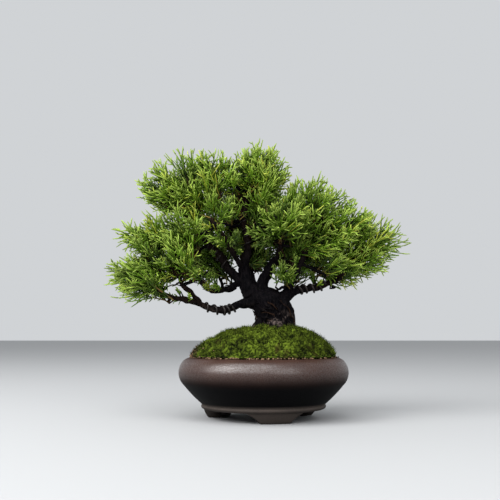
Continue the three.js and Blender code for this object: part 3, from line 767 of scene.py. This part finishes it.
def plume_template(rng):
    """One plume growing along +Z from the origin: a stem, shoots all round it by the golden angle, shorter
    and steeper towards the end and curving forwards, and on each of those a few shoots in a fan.
    Each cord is a row: start, run, bend, radius, and how far along the plume it starts and ends."""
    rows = []

    def cord(start, run, bend, radius, a, b):
        rows.append(np.concatenate([start, run, bend, [radius, a, b]]))

    stem_run = np.array([0, 0, PLUME_LENGTH])
    stem_bend = np.append(rng.normal(0, 0.07, 2) * PLUME_LENGTH, 0)
    wide = rng.uniform(0.9, 1.3)
    first = rng.uniform(0, TURN)
    cord(np.zeros(3), stem_run, stem_bend, CORD_RADIUS * 1.15, 0.0, 1.0)
    for i in range(SHOOTS):
        s = 0.1 + 0.8 * (i + rng.uniform(0.1, 0.9)) / SHOOTS
        around = first + i * GOLDEN_ANGLE + rng.normal(0, 0.3)
        side = np.array([math.cos(around), 0.6 * math.sin(around), 0])
        start = stem_run * s + stem_bend * s * s
        angle = wide * math.radians(rng.uniform(30, 44) - 10 * s)
        length = PLUME_LENGTH * (0.5 * (1 - s) + 0.13) * rng.uniform(0.75, 1.15)
        run = length * (side * math.sin(angle) + UP * math.cos(angle))
        bend = length * (0.16 * UP - 0.12 * side + rng.normal(0, 0.09, 3))
        end = min(1.0, s + 0.9 * length / PLUME_LENGTH + 0.1)
        cord(start, run, bend, CORD_RADIUS, s, end)
        fan = unit(np.cross(run, rng.normal(0, 1, 3)))
        count = SUB_SHOOTS[i * len(SUB_SHOOTS) // SHOOTS]
        for k in range(count):
            f = (k + rng.uniform(0.35, 0.8)) / count
            turn = (1 if k % 2 else -1) * math.radians(rng.uniform(30, 48))
            short = (length * 0.5 * (1 - f) + 3.4) * rng.uniform(0.8, 1.2)
            aim = unit(run) * math.cos(turn) + fan * math.sin(turn)
            from_s = s + (end - s) * f
            to_s = min(1.0, from_s + 0.12 + 0.9 * short / PLUME_LENGTH)
            curl = bend * 0.3 + rng.normal(0, 0.1, 3) * short
            cord(start + run * f + bend * f * f, aim * short, curl, CORD_RADIUS * 0.95, from_s, to_s)
    return np.array(rows)


CORD_SIDES = 4
RING_AT = np.array([0.0, 0.5, 0.88])  # shares of a cord's length
RING_SIZE = np.array([1.0, 1.04, 0.74])
POLE_AT = [-0.02, 1.0]


def cords_mesh(cords):
    """Closed four-sided cords, all at once: centre = start + run t + bend t^2, with a ring of four points at
    each share t, wider in the middle, and a pole at each end."""
    start, run, bend, radius = (cords[:, columns] for columns in (START, RUN, BEND, RADIUS))
    t = np.concatenate([RING_AT, POLE_AT])[None, :, None]
    centre = start[:, None] + run[:, None] * t + bend[:, None] * t * np.abs(t)
    way = unit(run + bend)
    helper = np.where(np.abs(way[:, 2:]) < 0.8, [[0.0, 0.0, 1.0]], [[1.0, 0.0, 0.0]])
    u = unit(np.cross(way, helper))
    v = np.cross(way, u)
    out = around(u[:, None], v[:, None], even_angles(CORD_SIDES)[:, None])
    size = radius * RING_SIZE
    rings = centre[:, : len(RING_AT), None] + out[:, None] * size[..., None, None]
    count = len(RING_AT) * CORD_SIDES
    points = np.concatenate([rings.reshape(len(cords), count, 3), centre[:, len(RING_AT) :]], axis=1)
    quads, fans = tube_faces(len(RING_AT), CORD_SIDES)
    offset = (np.arange(len(cords)) * (count + 2))[:, None, None]
    faces = [(quads + offset).reshape(-1, 4), (fans + offset).reshape(-1, 3)]
    along = np.concatenate([np.repeat(RING_AT, CORD_SIDES), [0.0, 1.0]])
    tip = cords[:, FROM] + (cords[:, TO] - cords[:, FROM]) * along
    return points.reshape(-1, 3), faces, tip.ravel(), count + 2


def even_directions(count, rng):
    """Directions spread evenly over a ball by the golden angle, turned and shaken a little."""
    i = np.arange(count) + 0.5
    z = 1 - 2 * i / count
    d = polar(np.sqrt(1 - z * z), i * GOLDEN_ANGLE + rng.uniform(0, TURN), z)
    return unit(d + rng.normal(0, 0.16, d.shape))


def ball_share(points, centre, half):
    """How far out points lie in a ball stretched to half-sizes: 0 in its middle and 1 at its face."""
    return np.linalg.norm((points - np.array(centre)) / np.array(half), axis=1)


PLUME_SPACING = 9.1
OUTER_SHARE = 0.7  # how many of the plumes end near the face of a lobe
EARLIER_CLEAR, LATER_CLEAR = 0.8, 0.6  # how far out a plume ends in the pad's other lobes, at the least


def plumes_of(origin, fullness, lobes, rng):
    """The pad's plumes: where each one ends, near the face of a lobe or inside it, the way it grows, between
    away from the branch's end and straight out of the lobe, and its length as a share of the template's."""
    ends, ways, scales = [], [], []
    for n, (centre, half) in enumerate(lobes):
        centre, half = np.array(centre, float), np.array(half, float)
        area = 4 * math.pi * (np.prod(half) ** (2 / 3))
        d = even_directions(int(area / PLUME_SPACING**2 * fullness), rng)
        outer = rng.random(len(d)) < OUTER_SHARE
        share = np.where(outer, rng.normal(1.05, 0.12, len(d)), rng.uniform(0.45, 0.9, len(d)))
        end = centre + half * d * share[:, None]
        keep = np.ones(len(d), bool)
        for other, lobe in enumerate(lobes):
            if other != n:
                keep &= ball_share(end, *lobe) > (EARLIER_CLEAR if other < n else LATER_CLEAR)
        way = unit(0.45 * unit(d / half) + 0.9 * unit(end - origin) + 0.1 * UP + rng.normal(0, 0.17, d.shape))
        ends.append(end[keep])
        ways.append(way[keep])
        reach = np.linalg.norm(end - origin, axis=1) * 0.9 / PLUME_LENGTH
        scales.append(np.minimum(rng.uniform(0.6, 1.1, len(d)), reach)[keep])
    return np.vstack(ends), np.vstack(ways), np.concatenate(scales)


def sprigs_of(limbs, rng):
    """Small plumes that stand on bare wood and lean forwards: ends, ways and scales as for a pad's plumes."""
    found = []
    for limb, low, high, count in limbs:
        starts, ways = standing_on(limb, rng.uniform(low, high, count), 0.3, rng)
        ways = lifted(ways)
        scales = rng.uniform(0.22, 0.5, count)
        found.append((starts + ways * (PLUME_LENGTH * scales)[:, None], ways, scales))
    return [np.concatenate(column) for column in zip(*found)]


def back_along(ends, ways, scales):
    """Places that many plume lengths back from the ends: at a plume's own scale that is its base."""
    return ends - ways * (PLUME_LENGTH * scales)[:, None]


def is_clear(ends, ways, scales):
    """Whether each plume stays out of every clearing at its end, its middle and its base."""
    clear = np.ones(len(ends), bool)
    for share in (0, 0.5, 1):
        points = back_along(ends, ways, scales * share)
        for ball in CLEARINGS:
            clear &= ball_share(points, *ball) > 1
    return clear


FACING = np.array([0.0, 1.0, 0.0])  # what the flat side of most plumes faces, give or take


def cords_of(ends, ways, scales, templates, rng):
    """The cords of all plumes, each a template turned to its own way, rolled and scaled, and their tones."""
    n = len(ends)
    x = unit(np.cross(ways, FACING + rng.normal(0, 0.6, ways.shape)))
    y = np.cross(ways, x)
    turn = np.stack([x, y, ways], axis=1)
    base = back_along(ends, ways, scales)
    chosen = templates[rng.integers(len(templates), size=n)]
    parts = []
    for columns in (START, RUN, BEND):
        moved = np.einsum("sci,sij->scj", chosen[..., columns], turn) * scales[:, None, None]
        parts.append(moved + (base[:, None] if columns is START else 0))
    thick = chosen[..., RADIUS] * rng.uniform(0.9, 1.12, (n, 1, 1))
    cords = np.concatenate([*parts, thick, chosen[..., FROM], chosen[..., TO]], axis=2)
    tone = rng.normal(0.5, 0.16, (n, 1)) + rng.normal(0, 0.16, chosen.shape[:2])
    return cords.reshape(-1, cords.shape[-1]), np.clip(tone, 0, 1).ravel()


CANOPY_HEART = (-2.0, 4.0, 116.0)
HEART_STRETCH = (1.15, 1.0, 0.9)


def shade_at(points, lobes):
    """How much painted shade a place in a pad gets, from 0 to 1: far inside its lobes, or near the heart of
    the canopy.
    """
    inside = np.min([ball_share(points, *lobe) for lobe in lobes], axis=0)
    heart = ball_share(points, CANOPY_HEART, HEART_STRETCH)
    return np.maximum(1 - smoothstep(inside, 0.15, 0.85), 0.8 - 0.8 * smoothstep(heart, 18, 50))


def spread_choice(points, count):
    """Numbers of a few points that lie far apart: each next one is the farthest from those already chosen."""
    chosen = [0]
    gap = np.linalg.norm(points - points[0], axis=1)
    for _ in range(count - 1):
        chosen.append(int(np.argmax(gap)))
        gap = np.minimum(gap, np.linalg.norm(points - points[chosen[-1]], axis=1))
    return chosen


TWIG_RINGS = 10


def grow(heap, start_points, end, radii, rng, twig):
    """A twig from the nearest of some points of wood to an end, bowed a little. Its points are returned."""
    gap = np.linalg.norm(start_points - end, axis=1)
    a = start_points[np.argmin(gap)]
    first, second = (a + (end - a) * f + rng.normal(0, 0.09, 3) * gap.min() for f in (0.35, 0.7))
    route = spline([a, first, second, end], TWIG_RINGS)
    points, faces = tube(route, radii_of(radii, TWIG_RINGS), SHOOT_SIDES)
    heap.add(points, faces, twig=twig, flake=0.0)
    return route


SIDE_BRANCHES = 7
SIDE_BRANCH_RADII = (1.4, 1.1, 0.7)
TWIG_RADII = (0.75, 0.6, 0.5)


def twigs_to(heap, base, limb_points, rng):
    """A few side branches from the limb into the pad, then a twig from the nearest wood to every tuft."""
    wood = limb_points
    for k in spread_choice(base, min(SIDE_BRANCHES, len(base))):
        wood = np.vstack([wood, grow(heap, wood, base[k], SIDE_BRANCH_RADII, rng, 0.0)[2:]])
    for end in base:
        grow(heap, wood, end, TWIG_RADII, rng, rng.uniform(0.0, 0.45))


PAD_SEED = 1


def build_tree():
    """The wood, then the sprays of each pad and the twigs that carry them."""
    wood, twigs = Heap("twig", "flake"), Heap("twig", "flake")
    build_wood(wood)
    build_strands(wood)
    build_stubs(twigs)
    boughs = [route for name, (route, _) in LIMBS.items() if not name.startswith(("root", "trunk"))]
    limb_points = np.vstack([spline(route, 40)[20:] for route in boughs])
    rng = np.random.default_rng(TEMPLATE_SEED)
    templates = np.array([plume_template(rng) for _ in range(TEMPLATES)])
    for number, (name, (origin, shade, fullness, lobes)) in enumerate(PADS.items()):
        rng = np.random.default_rng((PAD_SEED, number))
        plumes = plumes_of(origin, fullness, lobes, rng)
        clear = is_clear(*plumes) | (name in UNPRUNED)
        plumes = [column[clear] for column in plumes]
        bases = back_along(*plumes)
        if name in SPRIGS:
            plumes = [np.concatenate(pair) for pair in zip(plumes, sprigs_of(SPRIGS[name], rng))]
        cords, tone = cords_of(*plumes, templates, rng)
        points, faces, tip, per_cord = cords_mesh(cords)
        # painted shade for each point, from its place in the pad and the pad's own shade
        inner = np.maximum(shade_at(points, lobes), shade)
        values = {"tip": tip, "tone": np.repeat(tone, per_cord), "inner": inner}
        node = "foliage_" + name
        mesh_piece(name + "_sprays", points, faces, leaf, [node], values)
        twigs_to(twigs, bases, limb_points, rng)
    wood.piece("trunk_and_limbs", bark, "bark", ["trunk_and_branches"])
    twigs.piece("fine_twigs", bark, "bark", ["trunk_and_branches"])


# ------------ Moss ------------

MOSS_RADIUS = 51.5
MOSS_RINGS, MOSS_SEGMENTS = 84, 300
MOSS_BLADES = 15000
BLADE_RADIUS = 0.21
BLADE_SEED = 3
BLADE_LENGTHS = (0.8, 2.7)
MOSS_FLOOR = 42.6
MOSS_RISE = 18.5
LEFT_SLOPE = 2.5
RIGHT_SLOPE = 4.2
BROAD_CLUMP, SMALL_CLUMP, FLUFF, EDGE_WAVE = 13, 5, 1.5, 6  # sizes of what roughens it
CLUMP_HEIGHT = 2.2
FLUFF_HEIGHT = 1.3


def mound(x, y):
    """Height of the mound: rise (1 - r^slope), with the slope from 2.5 on the left to 4.2 on the right."""
    r = np.hypot(x, y)
    right = (x / np.maximum(r, 1e-6) + 1) / 2
    slope = LEFT_SLOPE + (RIGHT_SLOPE - LEFT_SLOPE) * right
    return MOSS_RISE * (1 - np.clip(r / MOSS_RADIUS, 0, 1) ** slope)


def moss_surface(x, y):
    """Points of the cushion above places on the ground, and how fluffy it is at each, from 0 to 1."""
    points = np.stack([x, y, MOSS_FLOOR + 1.0 + mound(x, y)], axis=-1)
    share = np.hypot(x, y) / MOSS_RADIUS
    small = 0.5 - np.abs(rough(points, SMALL_CLUMP, 2, 27))
    clumps = rough(points, BROAD_CLUMP, 2, 21) * CLUMP_HEIGHT + small * CLUMP_HEIGHT
    fluff = np.abs(rough(points, FLUFF, 3, 22))
    points[..., 2] += (clumps + fluff * FLUFF_HEIGHT) * (0.25 + 0.75 * smoothstep(share, 1.0, 0.9))
    ragged = rough(points, EDGE_WAVE, 3, 23) * smoothstep(share, 0.6, 1.0)
    return points + outwards(points) * ragged[..., None], np.clip(fluff * 1.6, 0, 1)


def moss_blades(rng):
    """Short blades that stand on the cushion and lean outwards, each with three points round its foot and a
    tip."""
    r = MOSS_RADIUS * np.sqrt(rng.random(MOSS_BLADES)) * 0.995
    a = rng.uniform(0, TURN, MOSS_BLADES)
    foot_at, fluff = moss_surface(r * np.cos(a), r * np.sin(a))
    lean = foot_at * [1, 1, 0] / MOSS_RADIUS * 0.9 + UP
    run = unit(lean + rng.normal(0, 0.4, foot_at.shape)) * rng.uniform(*BLADE_LENGTHS, (MOSS_BLADES, 1))
    ring = polar(BLADE_RADIUS, rng.uniform(0, TURN, (MOSS_BLADES, 1)) + even_angles(3), 0.0)
    points = np.concatenate([(foot_at - run * 0.2)[:, None] + ring, (foot_at + run)[:, None]], axis=1)
    sides = np.array([[0, 1, 3], [1, 2, 3], [2, 0, 3], [0, 2, 1]])
    faces = (sides + 4 * np.arange(MOSS_BLADES)[:, None, None]).reshape(-1, 3)
    tip = np.stack([fluff * 0.5] * 3 + [fluff * 0.5 + 0.5], axis=1)
    return points.reshape(-1, 3), (np.zeros((0, 4), int), faces), tip.ravel()


def build_moss():
    """The cushion as rings of points, closer together towards its edge, with a skirt and two poles, and the
    blades on it."""
    share = np.sin(np.linspace(0.0, 1, MOSS_RINGS + 1)[1:] * math.pi / 2)
    angle = even_angles(MOSS_SEGMENTS)
    r = share[:, None] * MOSS_RADIUS
    points, tip = moss_surface(r * np.cos(angle), r * np.sin(angle))
    underside = MOSS_FLOOR + 0.1
    skirt = points[-1] * [1, 1, 0] * 0.99 + [0, 0, underside]
    body = np.concatenate([skirt[None], points[::-1]])
    poles = np.array([[0, 0, underside], [0, 0, points[0, :, 2].mean()]])
    heap = Heap("tip")
    values = np.concatenate([np.zeros(MOSS_SEGMENTS), tip[::-1].ravel(), [0, 0.5]])
    faces = tube_faces(MOSS_RINGS + 1, MOSS_SEGMENTS)
    heap.add(np.vstack([body.reshape(-1, 3), poles]), faces, tip=values)
    blades, faces, blade_tip = moss_blades(np.random.default_rng(BLADE_SEED))
    heap.add(blades, faces, tip=blade_tip)
    heap.piece("moss_cushion", moss_green, "moss", ["moss"])


GRAINS = 220
GRAIN_SEED = 8
LEFT_GRAINS = 0.45  # share of the grains that lie in the wide gap at the left


def grain_ball():
    """A small six-sided lump: two rings of points round Z and two poles."""
    a = np.arange(6) * math.pi / 3
    poles = np.array([[0, 0, -0.9], [0, 0, 0.9]])
    return np.vstack([polar(0.85, a, -0.45), polar(0.8, a + 0.5, 0.45), poles]), tube_faces(2, 6)


def build_grains():
    """Grains of soil that lie between the moss and the lip, most of them at the front and the left."""
    rng = np.random.default_rng(GRAIN_SEED)
    ball, faces = grain_ball()
    heap = Heap()
    left = rng.random(GRAINS) < LEFT_GRAINS
    near_left = rng.normal(math.radians(182), 0.24, GRAINS)
    near_front = rng.normal(math.radians(268), 0.85, GRAINS)
    a = np.where(left, near_left, near_front)
    r = np.where(left, rng.uniform(47.5, 52.6, GRAINS), rng.uniform(51.0, 53.0, GRAINS))
    lift = np.where(left, (52.9 - r) * rng.uniform(0.5, 1.5, GRAINS), rng.uniform(0, 0.5, GRAINS))
    for place in polar(r, a, RIM_Z + 0.25 + lift):
        size = rng.uniform(0.3, 1.15) * np.array([1, rng.uniform(0.6, 1), rng.uniform(0.5, 0.9)])
        heap.add(ball * size @ turn_round_z(rng.uniform(0, math.pi)) + place, faces)
    heap.piece("soil_grains", earth, "soil")


# ------------ Wires and what lies in the pot ------------

# each wound limb: shares of its length between which the wire runs, turns, wire radius
WOUND = {
    "left_low": (0.27, 0.58, 5, 0.8),
    "right_low": (0.3, 0.58, 4.5, 0.8),
    "upper_left": (0.28, 0.6, 4.5, 0.45),
    "leader": (0.46, 0.78, 4.5, 0.45),
    "second_stem": (0.56, 0.78, 3, 0.45),
}
ROUTE_POINTS = 801
STEPS_PER_TURN = 24
WIRE_SIDES = 8


def build_wires():
    """Each wire runs round its limb: point = centre + (limb radius + wire radius) (cos a u + sin a v)."""
    for limb, (low, high, turns, radius) in WOUND.items():
        route, radii = LIMBS[limb]
        fine = spline(route, ROUTE_POINTS)
        u, v = across(fine)
        steps = int(turns * STEPS_PER_TURN)
        share = np.linspace(low, high, steps)
        k = (share * (ROUTE_POINTS - 1)).astype(int)
        angle = np.linspace(0, turns * TURN, steps)[:, None]
        out = (np.interp(share, np.linspace(0, 1, len(radii)), radii) + radius * 0.9)[:, None]
        helix = fine[k] + out * around(u[k], v[k], angle)
        heap = Heap()
        heap.add(*tube(helix, np.full(steps, radius), WIRE_SIDES))
        heap.piece("wound_wire_" + limb, wire_metal, "wire", ["training_wire_" + limb])


def dress_cad_nodes():
    """The pieces inside the pot are shown as they were made, in their own finishes."""
    for name, material in (("drainage_mesh", black_net), ("mesh_clip_wire", wire_metal),
                           ("root_tie_wire", wire_metal), ("soil", earth)):
        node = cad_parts[name]
        node.data.materials.clear()
        node.data.materials.append(material)


# ------------ Stage ------------


FLOOR_HALF = 6.0  # metres
CAMERA_PLACE = (-9.5, -541.0, 59.0)
CAMERA_LIFT = 6.33  # degrees above level
LENS, SENSOR_WIDTH = 54.3, 36.0

# name, place and aim in metres, size in metres, and watts
LIGHTS = (
    ("top_light", (-0.4, -0.75, 1.0), (0, 0, 0.1), 1.4, 22.5),
    ("left_light", (-1.1, -0.6, 0.85), (0, 0, 0.08), 0.9, 15.5),
    ("front_light", (0.6, -1.1, 0.7), (0, 0, 0.08), 0.8, 5.5),
)


def build_floor():
    """A square of pale floor."""
    mesh = bpy.data.meshes.new("floor")
    half = FLOOR_HALF
    corners = [(-half, -half, 0), (half, -half, 0), (half, half, 0), (-half, half, 0)]
    mesh.from_pydata(corners, [], [(0, 1, 2, 3)])
    floor = new_object("floor", mesh)
    mesh.materials.append(Shader("pale_floor").finish(Base_Color=rgba((170, 171, 172)), Roughness=0.8))


def build_lights():
    """A pale sky all round and three soft lamps, each turned to its aim."""
    world = bpy.data.worlds.new("studio")
    bpy.context.scene.world = world
    world.use_nodes = True
    background = world.node_tree.nodes["Background"]
    background.inputs["Color"].default_value = rgba((226, 229, 232))
    background.inputs["Strength"].default_value = 0.83
    for name, place, aim, size, watts in LIGHTS:
        data = bpy.data.lights.new(name, "AREA")
        data.size, data.energy = size, watts
        light = new_object(name, data)
        light.location = place
        x, y, z = unit(np.array(aim) - np.array(place))
        light.rotation_euler = (math.acos(-z), 0, math.atan2(y, x) - math.pi / 2)


def build_camera():
    """The camera, level with the lower trunk and turned up a little."""
    lens = bpy.data.cameras.new("camera")
    lens.lens, lens.sensor_width = LENS, SENSOR_WIDTH
    camera = new_object("camera", lens)
    camera.location = np.array(CAMERA_PLACE) * MM
    camera.rotation_euler = (math.radians(90 + CAMERA_LIFT), 0, 0)
    bpy.context.scene.camera = camera
    bpy.context.scene.view_settings.view_transform = "Standard"


build_pot()
build_tree()
build_moss()
build_grains()
build_wires()
dress_cad_nodes()
build_floor()
build_lights()
build_camera()
